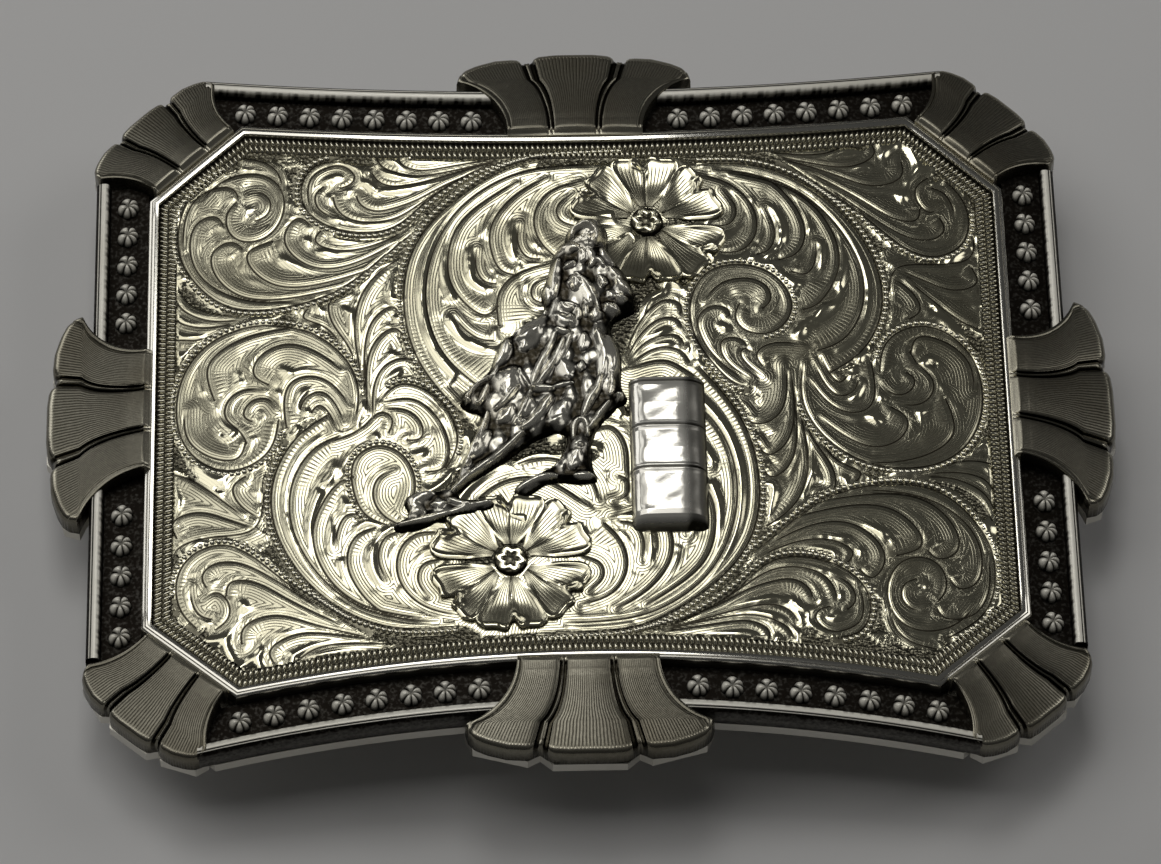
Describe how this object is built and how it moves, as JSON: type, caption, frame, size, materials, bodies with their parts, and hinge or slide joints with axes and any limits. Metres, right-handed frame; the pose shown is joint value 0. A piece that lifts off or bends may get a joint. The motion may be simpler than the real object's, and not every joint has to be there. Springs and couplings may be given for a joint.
{
  "type": "western trophy belt buckle",
  "caption": "Curved trophy belt buckle with an engraved scroll panel, fluted fans, rails of berries and an applied barrel racer; belt bail and hook on its back.",
  "frame": {"origin": "centre of the bounding box in plan, on the surface that the bail's bar and the hook's tip rest on", "axes": "+X to the wearer's left along the buckle's width, as the picture shows it; +Y towards its upper edge; +Z out of its face"},
  "size_m": [0.1082, 0.0828, 0.0165],
  "materials": {
    "engraved_silver": "bright-cut silver plate, darkened in the cuts",
    "polished_silver": "polished silver plate",
    "antique_silver": "finely lined and oxidised silver plate",
    "rail_silver": "polished ridge and berries over an oxidised floor",
    "nickel_back": "plain satin nickel silver"
  },
  "bodies": {
    "root": {"back_plate": "nickel_back", "bezel": "polished_silver", "engraved_panel": "engraved_silver", "horse_and_rider": "polished_silver", "barrel": "polished_silver", "bail": "nickel_back", "hook": "nickel_back", "fan_top": "antique_silver", "fan_bottom": "antique_silver", "fan_left": "antique_silver", "fan_right": "antique_silver", "fan_top_left": "antique_silver", "fan_top_right": "antique_silver", "fan_bottom_left": "antique_silver", "fan_bottom_right": "antique_silver", "rail_top_left": "rail_silver", "rail_top_right": "rail_silver", "rail_bottom_left": "rail_silver", "rail_bottom_right": "rail_silver", "rail_left_upper": "rail_silver", "rail_left_lower": "rail_silver", "rail_right_upper": "rail_silver", "rail_right_lower": "rail_silver"}
  },
  "joints": []
}
